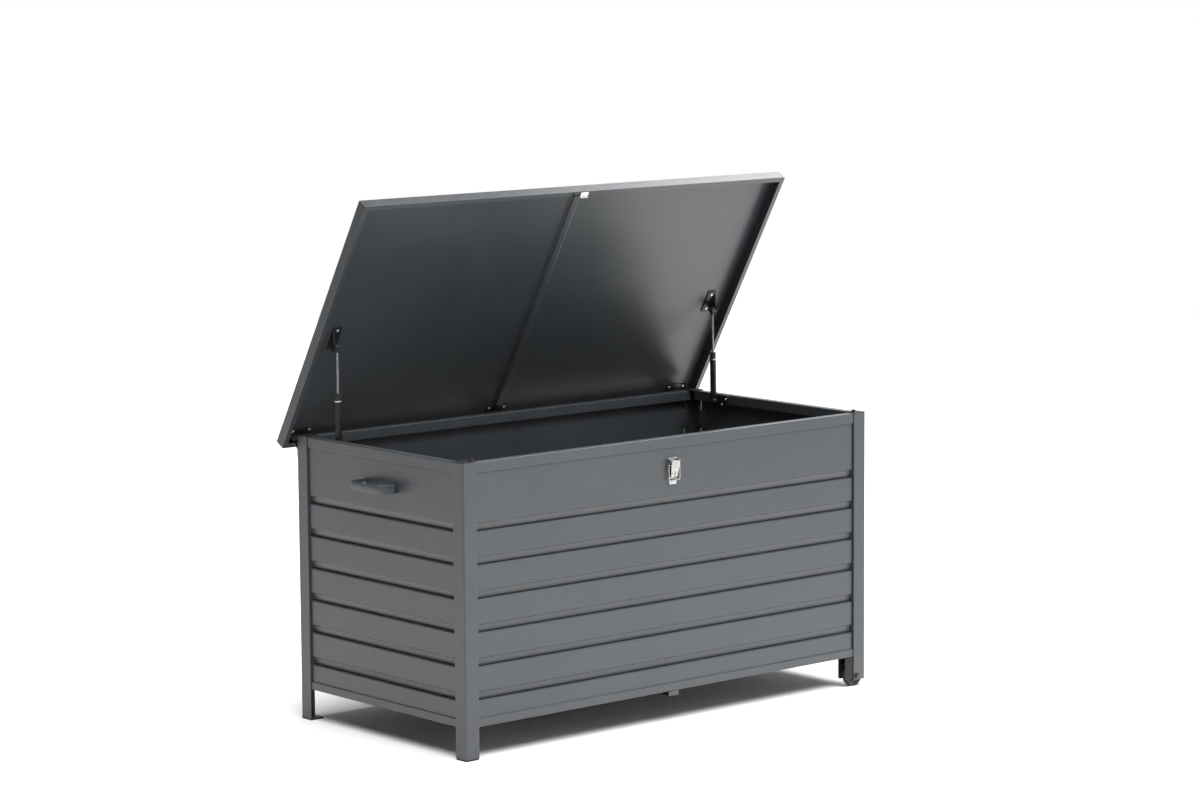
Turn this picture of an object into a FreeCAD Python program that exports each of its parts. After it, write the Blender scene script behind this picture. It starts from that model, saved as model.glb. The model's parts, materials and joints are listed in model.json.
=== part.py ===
import FreeCAD, Part
import math
import os

# Garden cushion box in powder-coated sheet aluminium, drawn with its lid standing open on two gas struts.
# Millimetres. X runs along the box with the handle at -X and the wheels at +X, the front faces -Y, Z is up.
# Shapes are drawn about the centre of the box's footprint and moved to the part's origin when exported.

# Box body
boxLength = 1200.0
boxDepth = 600.0
postTop = 648.0
postLeg = 36.0
postSheet = 2.0
footHeight = 4.0
wheelPostClearance = 15.0
panelBottom = 71.0
bottomRailHeight = 19.0
topRailHeight = 24.0
railInset = 2.2
railWidth = 20.0
railSheet = 1.5
panelInset = 5.0
panelSheet = 1.5
railSetback = 28.0
boardSetback = 38.0
grooveCount = 6
groovePitch = 73.6
grooveTop = 516.5
grooveHeight = 19.5
grooveDepth = 8.2
browDepth = 3.0
browDrop = 1.5
shelfDepth = 6.0
tongueDrop = 8.0
bendRadius = 1.6
plateSheet = 1.6
plateHeight = 42.0
plateLows = (postTop - 92.0, panelBottom + 80.0)
fitGap = 0.3

# Lid
lidLength = 1250.0
lidDepth = 650.0
lidSkirt = 26.0
lidSheet = 1.5
lidHem = 12.0
lidTop = 658.0
lidOpenAngle = 60.0
hingeY = 312.0
hingeZ = 627.0
hingeBarrelRadius = 4.0
hingePinRadius = 2.0
runningGap = 0.05
hingeLength = 60.0
hingeCentres = (-boxLength / 2 + 32.0, 0.0, boxLength / 2 - 32.0)

# Gas struts
strutInset = 35.0
bracketSheet = 2.4
strutPivotY = 188.0
strutPivotZ = 632.0
lidStudDepth = 270.0
lidStudDrop = 22.0
studRadius = 3.0
socketRadius = 7.0
socketWidth = 12.0
rodRadius = 3.0
cylinderRadius = 7.5
cylinderSheet = 1.0

# Wheels
wheelRadius = 25.0
wheelWidth = 18.0
wheelInset = 27.5
axleRadius = 4.0
forkSheet = 2.5
forkReach = 62.0

# Handle
handleFace = 100.0
handleFootSpan = 123.0
handleFlange = 14.0
handleStandOff = 38.0
handleHeight = 20.0
handleSheet = 3.0
handleZ = 567.0

# Latch
latchBottom = 541.0
latchTop = 602.0
latchPivotZ = 594.0
latchPivotOut = 7.0
latchSheet = 1.6
latchEar = 12.5
latchPinRadius = 1.5
latchLean = 11.0
bailWire = 3.0
bailArm = 9.0
bailDrop = 34.0
bailBend = 3.0

# The origin stands under the middle of the open object, a little behind the footprint's centre
originBehindCentre = 16.0

halfLength = boxLength / 2
halfDepth = boxDepth / 2
lidUnderside = lidTop - lidSheet
lidHalf = lidLength / 2
lidBack = lidDepth / 2
nodes = {}


def vec(x, y, z):
    return FreeCAD.Vector(x, y, z)


def block(low, high):
    size = [b - a for a, b in zip(low, high)]
    return Part.makeBox(size[0], size[1], size[2], vec(*low))


def rod(start, end, radius):
    run = vec(*end) - vec(*start)
    return Part.makeCylinder(radius, run.Length, vec(*start), run)


def tube(start, end, radius, bore):
    run = vec(*end) - vec(*start)
    over = run.normalize() * 1.0
    hole = rod(tuple(vec(*start) - over), tuple(vec(*end) + over), bore)
    return rod(start, end, radius).cut(hole)


def rounded(shape, radius, along):
    """Rounds the straight edges that run along one axis, given as a unit vector."""
    edges = []
    for edge in shape.Edges:
        if edge.Length > 0.5 and hasattr(edge.Curve, "Direction"):
            if abs(edge.Curve.Direction.dot(vec(*along))) > 0.999:
                edges.append(edge)
    return shape.makeFillet(radius, edges)


def bentOutline(path, sheet, radius, place):
    """The closed outline of a folded sheet: its middle line's corners, with a tangent arc at each bend."""
    half = sheet / 2
    sides = {half: [], -half: []}
    flat = [FreeCAD.Vector(u, v, 0) for u, v in path]
    turns = []
    for before, corner, after in zip(flat, flat[1:], flat[2:]):
        into = (corner - before).normalize()
        out = (after - corner).normalize()
        turn = math.atan2(into.x * out.y - into.y * out.x, into.dot(out))
        reach = radius * math.tan(abs(turn) / 2)
        sign = 1 if turn > 0 else -1
        left = FreeCAD.Vector(-into.y, into.x, 0)
        centre = corner - into * reach + left * (radius * sign)
        turns.append((corner, into, out, reach, sign, centre))
    for offset, edges in sides.items():
        into = (flat[1] - flat[0]).normalize()
        last = flat[0] + FreeCAD.Vector(-into.y, into.x, 0) * offset
        for corner, into, out, reach, sign, centre in turns:
            start = corner - into * reach + FreeCAD.Vector(-into.y, into.x, 0) * offset
            end = corner + out * reach + FreeCAD.Vector(-out.y, out.x, 0) * offset
            middle = centre + (corner - centre).normalize() * (radius - sign * offset)
            edges.append(("line", last, start))
            edges.append(("arc", start, middle, end))
            last = end
        out = (flat[-1] - flat[-2]).normalize()
        edges.append(("line", last, flat[-1] + FreeCAD.Vector(-out.y, out.x, 0) * offset))
    near = sides[half]
    far = sides[-half]
    pieces = near + far
    pieces.append(("line", near[0][1], far[0][1]))
    pieces.append(("line", near[-1][-1], far[-1][-1]))
    drawn = []
    for kind, *points in pieces:
        spots = [place(p.x, p.y) for p in points]
        curve = Part.LineSegment(*spots) if kind == "line" else Part.Arc(*spots)
        drawn.append(curve.toShape())
    return Part.Face(Part.Wire(Part.__sortEdges__(drawn)))


def foldedAlongX(path, sheet, start, end, radius=bendRadius):
    """A folded sheet whose section is drawn in Y and Z."""
    face = bentOutline(path, sheet, radius, lambda y, z: vec(start, y, z))
    return face.extrude(vec(end - start, 0, 0))


def foldedAlongY(path, sheet, start, end, radius=bendRadius):
    """A folded sheet whose section is drawn in X and Z."""
    face = bentOutline(path, sheet, radius, lambda x, z: vec(x, start, z))
    return face.extrude(vec(0, end - start, 0))


def foldedAlongZ(path, sheet, start, end, radius=bendRadius):
    """A folded sheet whose section is drawn in X and Y."""
    face = bentOutline(path, sheet, radius, lambda x, y: vec(x, y, start))
    return face.extrude(vec(0, 0, end - start))


def turned(shape, degrees, centre=(0, 0, 0), axis=(0, 0, 1)):
    copy = shape.copy()
    copy.rotate(vec(*centre), vec(*axis), degrees)
    return copy


def mirroredX(shape):
    return shape.mirror(vec(0, 0, 0), vec(1, 0, 0))


def mirroredY(shape):
    return shape.mirror(vec(0, 0, 0), vec(0, 1, 0))


def fourCorners(shape):
    """A shape at the front left corner and its mirror images at the other three."""
    pair = [shape, mirroredX(shape)]
    return pair + [mirroredY(one) for one in pair]


def group(shapes):
    return Part.makeCompound(shapes)


def opened(shape):
    """Swings a lid piece, drawn closed, back to where it stands open."""
    return turned(shape, -lidOpenAngle, (0, hingeY, hingeZ), (1, 0, 0))


def boltHead(centre, axis, radius, height):
    """A low domed head, drawn as a cone on a disc."""
    base = vec(*centre)
    along = vec(*axis)
    disc = Part.makeCylinder(radius, height * 0.4, base, along)
    dome = Part.makeCone(radius, radius * 0.55, height * 0.6, base + along * (height * 0.4), along)
    return disc.fuse(dome)


# ---- Posts, caps and feet

def post(bottom):
    """An angle at the front left corner, its edges turned in between the rails, notched for the plates."""
    middle = postSheet / 2
    path = [
        (-halfLength + postLeg, -halfDepth + middle),
        (-halfLength + middle, -halfDepth + middle),
        (-halfLength + middle, -halfDepth + postLeg),
    ]
    angle = foldedAlongZ(path, postSheet, bottom, postTop, 2.2)
    low = panelBottom + bottomRailHeight + 2
    high = postTop - topRailHeight - 2
    flush = panelInset + panelSheet
    reach = flush + grooveDepth
    inner = postLeg - postSheet
    frontLip = block((-halfLength + inner, -halfDepth + 1, low),
                     (-halfLength + postLeg, -halfDepth + reach, high))
    endLip = block((-halfLength + 1, -halfDepth + inner, low),
                   (-halfLength + reach, -halfDepth + postLeg, high))
    lips = frontLip.fuse(endLip)
    for plateLow in plateLows:
        notch = block((-halfLength + flush, -halfDepth + flush, plateLow - 2),
                      (0, 0, plateLow + plateHeight + 2))
        lips = lips.cut(notch)
    return angle.fuse(lips)


def makePosts():
    handleEnd = post(footHeight)
    wheelEnd = mirroredX(post(wheelPostClearance))
    bolt = rod((halfLength - wheelInset, -halfDepth - 1, wheelRadius),
               (halfLength - wheelInset, -halfDepth + postSheet + 1, wheelRadius), axleRadius + fitGap)
    wheelEnd = wheelEnd.cut(bolt)
    nodes["post_front_left"] = handleEnd
    nodes["post_back_left"] = mirroredY(handleEnd)
    nodes["post_front_right"] = wheelEnd
    nodes["post_back_right"] = mirroredY(wheelEnd)


capThickness = 1.8
bufferRadius = 4.5


def makeCaps():
    """Square plastic caps on the posts. The front two carry a buffer that the closed lid rests on."""
    plate = block((-halfLength, -halfDepth, postTop),
                  (-halfLength + postLeg, -halfDepth + postLeg, postTop + capThickness))
    plate = rounded(plate, 2.0, (0, 0, 1))
    spot = (-halfLength + postLeg - 6, -halfDepth + 9)
    buffer = rod((*spot, postTop + capThickness), (*spot, lidUnderside - fitGap), bufferRadius)
    front = plate.fuse(buffer)
    back = mirroredY(plate)
    nodes["post_caps"] = group([front, mirroredX(front), back, mirroredX(back)])


def makeFeet():
    """Plastic plugs that close the two left posts and stand on the ground."""
    sole = block((-halfLength, -halfDepth, 0), (-halfLength + postLeg, -halfDepth + postLeg, footHeight))
    sole = rounded(sole, 2.0, (0, 0, 1))
    gap = postSheet + 0.6
    plug = block((-halfLength + gap, -halfDepth + gap, footHeight),
                 (-halfLength + 17, -halfDepth + 17, footHeight + 26))
    foot = sole.fuse(plug)
    nodes["foot_plugs"] = group([foot, mirroredY(foot)])


# ---- Walls

def wallProfiles():
    """Middle lines of the folded boards of one wall, as inset from the outer face and height, top first.

    Under its lower edge each board steps in and slopes back as the groove's floor, down to a tongue
    that hangs behind the next board's turned-in lip.
    """
    face = panelInset + panelSheet / 2
    slope = (grooveDepth - browDepth) / (grooveHeight + panelSheet / 2 - browDrop)
    boards = [[(face, postTop - topRailHeight - 0.1)]]
    for k in range(grooveCount):
        top = grooveTop - k * groovePitch
        lip = top - grooveHeight - panelSheet / 2
        boards[-1] += [
            (face, top),
            (face + browDepth, top - browDrop),
            (face + grooveDepth + slope * tongueDrop, lip - tongueDrop),
        ]
        boards.append([(face + shelfDepth, lip), (face, lip)])
    boards[-1].append((face, panelBottom + bottomRailHeight + 0.1))
    return boards


def squareTube(outer, z, height, length):
    """A rail of rectangular tube just inside a wall's outer face."""
    near = -outer + railInset
    far = near + railWidth
    whole = rounded(block((-length / 2, near, z), (length / 2, far, z + height)), 2.0, (1, 0, 0))
    core = block((-length / 2 - 1, near + railSheet, z + railSheet),
                 (length / 2 + 1, far - railSheet, z + height - railSheet))
    return whole.cut(core)


def makeWall(name, outer, width, angle):
    """One wall: top rail, tall fascia board, six grooved slats and bottom rail."""
    boardEnd = width / 2 - boardSetback
    shaped = []
    for board in wallProfiles():
        path = [(inset - outer, height) for inset, height in board]
        shaped.append(foldedAlongX(path, panelSheet, -boardEnd, boardEnd))
    railLength = width - 2 * railSetback
    topRail = squareTube(outer, postTop - topRailHeight, topRailHeight, railLength)
    bottomRail = squareTube(outer, panelBottom, bottomRailHeight, railLength)
    nodes["top_rail_" + name] = turned(topRail, angle)
    nodes["fascia_" + name] = turned(shaped[0], angle)
    nodes["slats_" + name] = group([turned(slat, angle) for slat in shaped[1:]])
    nodes["bottom_rail_" + name] = turned(bottomRail, angle)


def makeWalls():
    makeWall("front", halfDepth, boxLength, 0)
    makeWall("right", halfLength, boxDepth, 90)
    makeWall("back", halfDepth, boxLength, 180)
    makeWall("left", halfLength, boxDepth, -90)


def makeJoiningPlates():
    """Flat plates inside each corner that tie the boards to the turned-in edges of the post."""
    near = panelInset + panelSheet + 0.1
    far = near + plateSheet
    along = (postLeg - 14, boardSetback + 16)
    plates = []
    for low in plateLows:
        high = low + plateHeight
        front = block((-halfLength + along[0], -halfDepth + near, low),
                      (-halfLength + along[1], -halfDepth + far, high))
        end = block((-halfLength + near, -halfDepth + along[0], low),
                    (-halfLength + far, -halfDepth + along[1], high))
        plates += fourCorners(rounded(front, 4.0, (0, 1, 0)))
        plates += fourCorners(rounded(end, 4.0, (1, 0, 0)))
    nodes["joining_plates"] = group(plates)


# ---- Floor

floorTop = 87.5


def makeFloor():
    """Two floor sheets on a cross beam, their turned-down edges between the bottom rails."""
    side = railInset + railWidth + 0.5
    sheet = 1.2
    edge = halfDepth - side - sheet / 2
    middle = floorTop - sheet / 2
    path = [(-edge, floorTop - 12), (-edge, middle), (edge, middle), (edge, floorTop - 12)]
    nodes["floor_sheet_left"] = foldedAlongX(path, sheet, -halfLength + side, -1.0)
    nodes["floor_sheet_right"] = foldedAlongX(path, sheet, 1.0, halfLength - side)

    beamHalf = 15.0
    low = 62.0
    high = floorTop - sheet - 1.1
    path = [
        (-beamHalf - 10, high),
        (-beamHalf, high),
        (-beamHalf, low + 1),
        (beamHalf, low + 1),
        (beamHalf, high),
        (beamHalf + 10, high),
    ]
    nodes["floor_beam"] = foldedAlongY(path, 2.0, -halfDepth + side + 2, halfDepth - side - 2)

    outer = -halfDepth + railInset + 1
    tab = block((-beamHalf, outer, low - 2.2), (beamHalf, outer + 46, low - 0.1))
    riser = block((-beamHalf, outer, low - 0.2), (beamHalf, outer + 2, panelBottom - 0.1))
    tab = tab.fuse(riser)
    nodes["beam_tabs"] = group([tab, mirroredY(tab)])


# ---- Handle

def makeHandle():
    """A flat bar folded to stand off the left wall, its two feet turned in behind it."""
    face = -halfLength + panelInset - 0.1 - handleSheet / 2
    out = -halfLength - handleStandOff + handleSheet / 2
    foot = handleFootSpan / 2
    path = [
        (face, foot - handleFlange),
        (face, foot),
        (out, handleFace / 2),
        (out, -handleFace / 2),
        (face, -foot),
        (face, -foot + handleFlange),
    ]
    low = handleZ - handleHeight / 2
    nodes["handle"] = foldedAlongZ(path, handleSheet, low, low + handleHeight, 4.0)


# ---- Wheels

def axleSpot(y):
    return (halfLength - wheelInset, y, wheelRadius)


def makeWheels():
    """Front wheel, axle bolt and fork. The back ones are their mirror images."""
    legBack = -halfDepth + postSheet
    frontCheek = legBack + fitGap
    wheelFront = frontCheek + forkSheet + 0.6
    wheelBack = wheelFront + wheelWidth
    backCheek = wheelBack + 0.6
    forkBack = backCheek + forkSheet
    left = halfLength - forkReach
    right = halfLength - postSheet - 0.6
    roof = 2 * wheelRadius + 2.6

    wheel = rod(axleSpot(wheelFront), axleSpot(wheelBack), wheelRadius)
    rims = [e for e in wheel.Edges if abs(e.Length - 2 * math.pi * wheelRadius) < 0.1]
    wheel = wheel.makeFillet(2.5, rims)
    dish = tube(axleSpot(wheelFront - 1), axleSpot(wheelFront + 2.5), wheelRadius - 6, 9.0)
    wheel = wheel.cut(dish)
    wheel = wheel.cut(rod(axleSpot(wheelFront - 1), axleSpot(wheelBack + 1), axleRadius + runningGap))

    shank = rod(axleSpot(-halfDepth), axleSpot(forkBack + 5), axleRadius)
    head = boltHead(axleSpot(-halfDepth), (0, -1, 0), 7.0, 3.2)
    nut = Part.makeCylinder(6.5, 4.0, vec(*axleSpot(forkBack + 0.1)), vec(0, 1, 0))
    axle = shank.fuse([head, nut])

    cheek = block((left, frontCheek, 18), (right, frontCheek + forkSheet, panelBottom - 0.2))
    cheek = rounded(cheek, 5.0, (0, 1, 0))
    rear = cheek.translated(vec(0, backCheek - frontCheek, 0))
    top = block((left + 6, frontCheek, roof), (right - 6, forkBack, roof + forkSheet))
    fork = cheek.fuse([rear, top])
    fork = fork.cut(rod(axleSpot(frontCheek - 1), axleSpot(forkBack + 1), axleRadius + 0.1))

    for name, flip in (("front", lambda s: s), ("back", mirroredY)):
        nodes["wheel_" + name] = flip(wheel)
        nodes["axle_" + name] = flip(axle)
        nodes["wheel_fork_" + name] = flip(fork)


# ---- Hinges

knuckleGap = 0.2
knuckleHalf = 10.0
leafSheet = 2.0


def hingeRod(start, end, radius):
    """A round bar along the hinge line."""
    return rod((start, hingeY, hingeZ), (end, hingeY, hingeZ), radius)


def makeHinges():
    """Three butt hinges behind the back wall: the middle knuckle turns with the lid."""
    boxLeaves = []
    lidLeaves = []
    pins = []
    end = hingeLength / 2
    legY = hingeY - 2.5
    flangeZ = lidUnderside - leafSheet / 2 - 0.1
    for centre in hingeCentres:
        onPost = abs(centre) > halfLength - postLeg - end
        seat = (halfDepth if onPost else halfDepth - railInset) + leafSheet / 2 + 0.1
        parts = [block((centre - end, seat - leafSheet / 2, hingeZ - 28),
                       (centre + end, seat + leafSheet / 2, hingeZ - 10))]
        armPath = [(seat, hingeZ - 16), (seat, hingeZ - 9.5), (hingeY - 2.6, hingeZ - 1.6)]
        for side in (-1, 1):
            near = centre + side * (knuckleHalf + knuckleGap)
            far = centre + side * end
            start, stop = min(near, far), max(near, far)
            arm = foldedAlongX(armPath, leafSheet, start, stop, 1.4)
            parts += [arm, hingeRod(start, stop, hingeBarrelRadius)]
        pin = hingeRod(centre - end - 1, centre + end + 1, hingePinRadius)
        boxLeaves.append(parts[0].fuse(parts[1:]).cut(pin))
        pins.append(pin)

        lidPath = [(legY, hingeZ + 8), (legY, flangeZ), (legY - 19, flangeZ)]
        lidPlate = foldedAlongX(lidPath, leafSheet, centre - end, centre + end)
        tail = block((centre - knuckleHalf, legY - 1, hingeZ), (centre + knuckleHalf, legY + 1, hingeZ + 9))
        barrel = hingeRod(centre - knuckleHalf, centre + knuckleHalf, hingeBarrelRadius)
        bore = hingeRod(centre - end, centre + end, hingePinRadius + runningGap)
        lidLeaves.append(opened(lidPlate.fuse([tail, barrel]).cut(bore)))
    nodes["hinge_leaves_box"] = group(boxLeaves)
    nodes["hinge_pins"] = group(pins)
    nodes["hinge_leaves_lid"] = group(lidLeaves)


# ---- Lid, drawn closed and then opened

def makeLidShell():
    """One sheet folded into a shallow tray: top, four skirts and a hem turned inwards all round."""
    low = lidTop - lidSkirt
    shell = block((-lidHalf, -lidBack, low), (lidHalf, lidBack, lidTop))
    shell = rounded(shell, 3.0, (0, 0, 1))
    rim = [e for e in shell.Edges if min(v.Z for v in e.Vertexes) > lidTop - 0.01]
    shell = shell.makeFillet(2.0, rim)
    inner = (lidHalf - lidSheet, lidBack - lidSheet)
    hollow = block((-inner[0], -inner[1], low + lidSheet), (*inner, lidUnderside))
    within = (lidHalf - lidHem, lidBack - lidHem)
    mouth = block((-within[0], -within[1], low - 1), (*within, low + lidSheet + 1))
    nodes["lid_shell"] = opened(shell.cut([hollow, mouth]))


def makeLidBrace():
    """A shallow hat-section stiffener across the middle of the lid, front to back."""
    high = lidUnderside - 0.7
    low = high - 5.8
    path = [(-14, high), (-8.4, high), (-7.4, low), (7.4, low), (8.4, high), (14, high)]
    brace = foldedAlongY(path, 1.2, -lidBack + lidHem + 2, hingeY - 26, 1.2)
    nodes["lid_brace"] = opened(brace)


def makeKeeper():
    """Striker plate under the front hem for the latch's bail, and the rubber pad beside it."""
    low = lidTop - lidSkirt
    end = -lidBack + lidHem + 2.0
    path = [(-lidBack + 2.0, low - 0.9), (end, low - 0.9), (end, low - 5.5)]
    nodes["latch_keeper"] = opened(foldedAlongX(path, 1.6, -11, 11))
    pad = block((-34, -lidBack + 2, low - 4.1), (-13, -lidBack + lidHem - 1, low - 0.1))
    nodes["keeper_pad"] = opened(rounded(pad, 1.2, (1, 0, 0)))


# ---- Gas struts

def pointOpened(y, z):
    """Where a point of the closed lid stands when the lid is open."""
    turn = math.radians(-lidOpenAngle)
    dy, dz = y - hingeY, z - hingeZ
    sideways = dy * math.cos(turn) - dz * math.sin(turn)
    upwards = dy * math.sin(turn) + dz * math.cos(turn)
    return hingeY + sideways, hingeZ + upwards


def makeStruts():
    studY, studZ = lidBack - lidStudDepth, lidTop - lidStudDrop
    openY, openZ = pointOpened(studY, studZ)
    length = math.hypot(openY - strutPivotY, openZ - strutPivotZ)
    tilt = -math.degrees(math.atan2(openY - strutPivotY, openZ - strutPivotZ))
    x = -halfLength + strutInset
    wallSide = -halfLength + 25.0
    neck = 12.0
    tubeStart, tubeEnd = 9.0, 104.5
    collarEnd = 118.0
    face = (x - socketWidth / 2, x + socketWidth / 2)

    def placed(shape):
        copy = shape.copy()
        copy.translate(vec(0, strutPivotY, strutPivotZ))
        return turned(copy, tilt, (0, strutPivotY, strutPivotZ), (1, 0, 0))

    bore = rod((face[0] - 1, 0, length), (face[1] + 1, 0, length), studRadius + runningGap)
    eye = rod((face[0], 0, length), (face[1], 0, length), socketRadius)
    eye = eye.fuse(rod((x, 0, length - neck), (x, 0, length - 3), 5.0)).cut(bore)
    stem = rod((x, 0, tubeEnd - 4.4), (x, 0, length - neck), rodRadius)
    piston = rod((x, 0, tubeEnd - 4.4), (x, 0, tubeEnd - 0.4), cylinderRadius - cylinderSheet - 0.05)

    can = tube((x, 0, tubeStart + 2), (x, 0, tubeEnd), cylinderRadius, cylinderRadius - cylinderSheet)
    can = can.fuse(rod((x, 0, tubeStart), (x, 0, tubeStart + 2), cylinderRadius))
    band = tube((x, 0, tubeEnd - 5), (x, 0, tubeEnd - 2), cylinderRadius + 0.8, cylinderRadius)
    collar = tube((x, 0, tubeEnd), (x, 0, collarEnd), cylinderRadius - 0.3, rodRadius + runningGap)
    ball = rod((face[0], 0, 0), (face[1], 0, 0), socketRadius).fuse(rod((x, 0, 3), (x, 0, tubeStart), 5.0))
    stub = rod((wallSide + 0.9, 0, 0), (face[0] + 1, 0, 0), studRadius)
    foot = ball.fuse(stub)

    pieces = {
        "strut_rod_": stem.fuse(piston),
        "strut_eye_": eye,
        "strut_tube_": can,
        "strut_band_": band,
        "strut_fittings_": group([collar, foot]),
    }
    for name, shape in pieces.items():
        nodes[name + "left"] = placed(shape)
        nodes[name + "right"] = mirroredX(placed(shape))

    # Bracket under the lid: a base plate, a hanging leg with a gusset, and the stud in the rod's eye.
    padTop = lidUnderside - 0.1
    padLow = padTop - bracketSheet
    legFace = (wallSide, wallSide + 2.4)
    base = block((legFace[0], studY - 42, padLow), (-halfLength + 50, studY + 18, padTop))
    base = rounded(base, 4.0, (0, 0, 1))
    leg = block((legFace[0], studY - 9, studZ - 7), (legFace[1], studY + 9, padLow + 1))
    leg = rounded(leg, 5.0, (1, 0, 0))
    corners = [(studY - 36, padLow + 0.5), (studY - 5, padLow + 0.5), (studY - 5, studZ)]
    outline = Part.makePolygon([vec(legFace[0], y, z) for y, z in corners + corners[:1]])
    gusset = Part.Face(outline).extrude(vec(2.4, 0, 0))
    stud = rod((legFace[0], studY, studZ), (face[1] + 0.4, studY, studZ), studRadius)
    clip = rod((face[1] + 0.3, studY, studZ), (face[1] + 1.5, studY, studZ), studRadius + 1.6)
    bracket = base.fuse([leg, gusset, stud, clip])
    nodes["strut_brackets_lid"] = group([opened(bracket), mirroredX(opened(bracket))])

    # Bracket inside the box, screwed to the end wall's top rail.
    railFace = -halfLength + railInset + railWidth + 0.1
    plate = block((railFace, strutPivotY - 42, strutPivotZ - 16),
                  (wallSide + 0.5, strutPivotY + 9, strutPivotZ + 14))
    plate = rounded(plate, 5.0, (1, 0, 0))
    nodes["strut_brackets_box"] = group([plate, mirroredX(plate)])


# ---- Latch

def flatPlate(corners, y, sheet):
    """A plate parallel to the front wall, from its corners in X and Z."""
    outline = Part.makePolygon([vec(x, y, z) for x, z in corners + corners[:1]])
    return Part.Face(outline).extrude(vec(0, sheet, 0))


def bentWire(spots, radius, wire):
    """A round wire through the given points, with a rounded bend at each corner."""
    points = [vec(*spot) for spot in spots]
    lines = []
    last = points[0]
    for before, corner, after in zip(points, points[1:], points[2:]):
        into = (corner - before).normalize()
        out = (after - corner).normalize()
        reach = radius * math.tan(into.getAngle(out) / 2)
        start = corner - into * reach
        end = corner + out * reach
        inward = (out - into).normalize()
        centre = corner + inward * math.hypot(radius, reach)
        lines.append(Part.LineSegment(last, start).toShape())
        lines.append(Part.Arc(start, centre - inward * radius, end).toShape())
        last = end
    lines.append(Part.LineSegment(last, points[-1]).toShape())
    section = Part.Wire(Part.makeCircle(wire / 2, points[0], points[1] - points[0]))
    return Part.Wire(lines).makePipeShell([section], True, False)


def makeLatch():
    """A wire-bail toggle latch on the front board, hanging unlatched."""
    back = -halfDepth + panelInset - 0.1
    front = back - latchSheet
    pivot = (front - latchPivotOut, latchPivotZ)
    earOut = latchEar + latchSheet

    corners = [(-earOut, latchTop), (earOut, latchTop), (earOut, 573), (11, 554), (11, latchBottom)]
    corners += [(-11, latchBottom), (-11, 554), (-earOut, 573)]
    plate = rounded(flatPlate(corners, front, latchSheet), 3.0, (0, 1, 0))
    ear = block((latchEar, pivot[0] - 3, latchPivotZ - 4.5), (earOut, front + 0.5, latchPivotZ + 4.5))
    ear = rounded(ear, 2.4, (1, 0, 0))
    pin = rod((-earOut - 0.6, *pivot), (earOut + 0.6, *pivot), latchPinRadius)
    nodes["latch_base"] = plate.fuse([ear, mirroredX(ear)]).cut(pin)
    nodes["latch_pin"] = pin

    # Lever: a tapered plate with a curled tip, and two cheeks that turn on the pin.
    outer = pivot[0] - 5.2
    inner = outer + latchSheet
    wide = latchEar - 0.4
    narrow = wide - 2.5
    top = latchPivotZ + 2.4
    bottom = latchPivotZ - 34.0
    corners = [(-wide, top), (wide, top), (wide, top - 14), (narrow, bottom), (-narrow, bottom)]
    cover = rounded(flatPlate(corners + [(-wide, top - 14)], outer, latchSheet), 1.5, (0, 1, 0))
    bailSpot = (pivot[0], latchPivotZ - bailArm)
    cheek = block((wide - latchSheet, inner - 0.5, bailSpot[1] - 3), (wide, pivot[0] + 2.6, top))
    cheek = rounded(cheek, 2.0, (1, 0, 0))
    lipY = inner - latchSheet / 2
    lipPath = [(lipY, bottom + 1), (lipY, bottom - 1.5), (lipY - 3.4, bottom - 4.0)]
    lip = foldedAlongX(lipPath, latchSheet, -narrow + 1, narrow - 1, 1.2)
    slot = block((-1.2, outer - 1, bottom + 3), (1.2, inner + 1, bottom + 12))
    lever = cover.fuse([cheek, mirroredX(cheek), lip]).cut(slot)
    lever = lever.cut(rod((-earOut, *pivot), (earOut, *pivot), latchPinRadius + runningGap))
    lever = lever.cut(rod((-earOut, *bailSpot), (earOut, *bailSpot), bailWire / 2 + runningGap))

    # The lever leans in towards the board; the bail hangs plumb from wherever that puts its holes.
    nodes["latch_lever"] = turned(lever, latchLean, (0, *pivot), (1, 0, 0))
    lean = math.radians(latchLean)
    hangY = pivot[0] + bailArm * math.sin(lean)
    hangZ = latchPivotZ - bailArm * math.cos(lean)
    side = earOut + bailWire / 2 + 0.5
    half = [(wide - 0.8, hangZ), (side, hangZ), (side, hangZ - bailDrop)]
    spots = [(-x, hangY, z) for x, z in half] + [(x, hangY, z) for x, z in reversed(half)]
    nodes["latch_bail"] = bentWire(spots, bailBend, bailWire)


# ---- Fasteners

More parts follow.
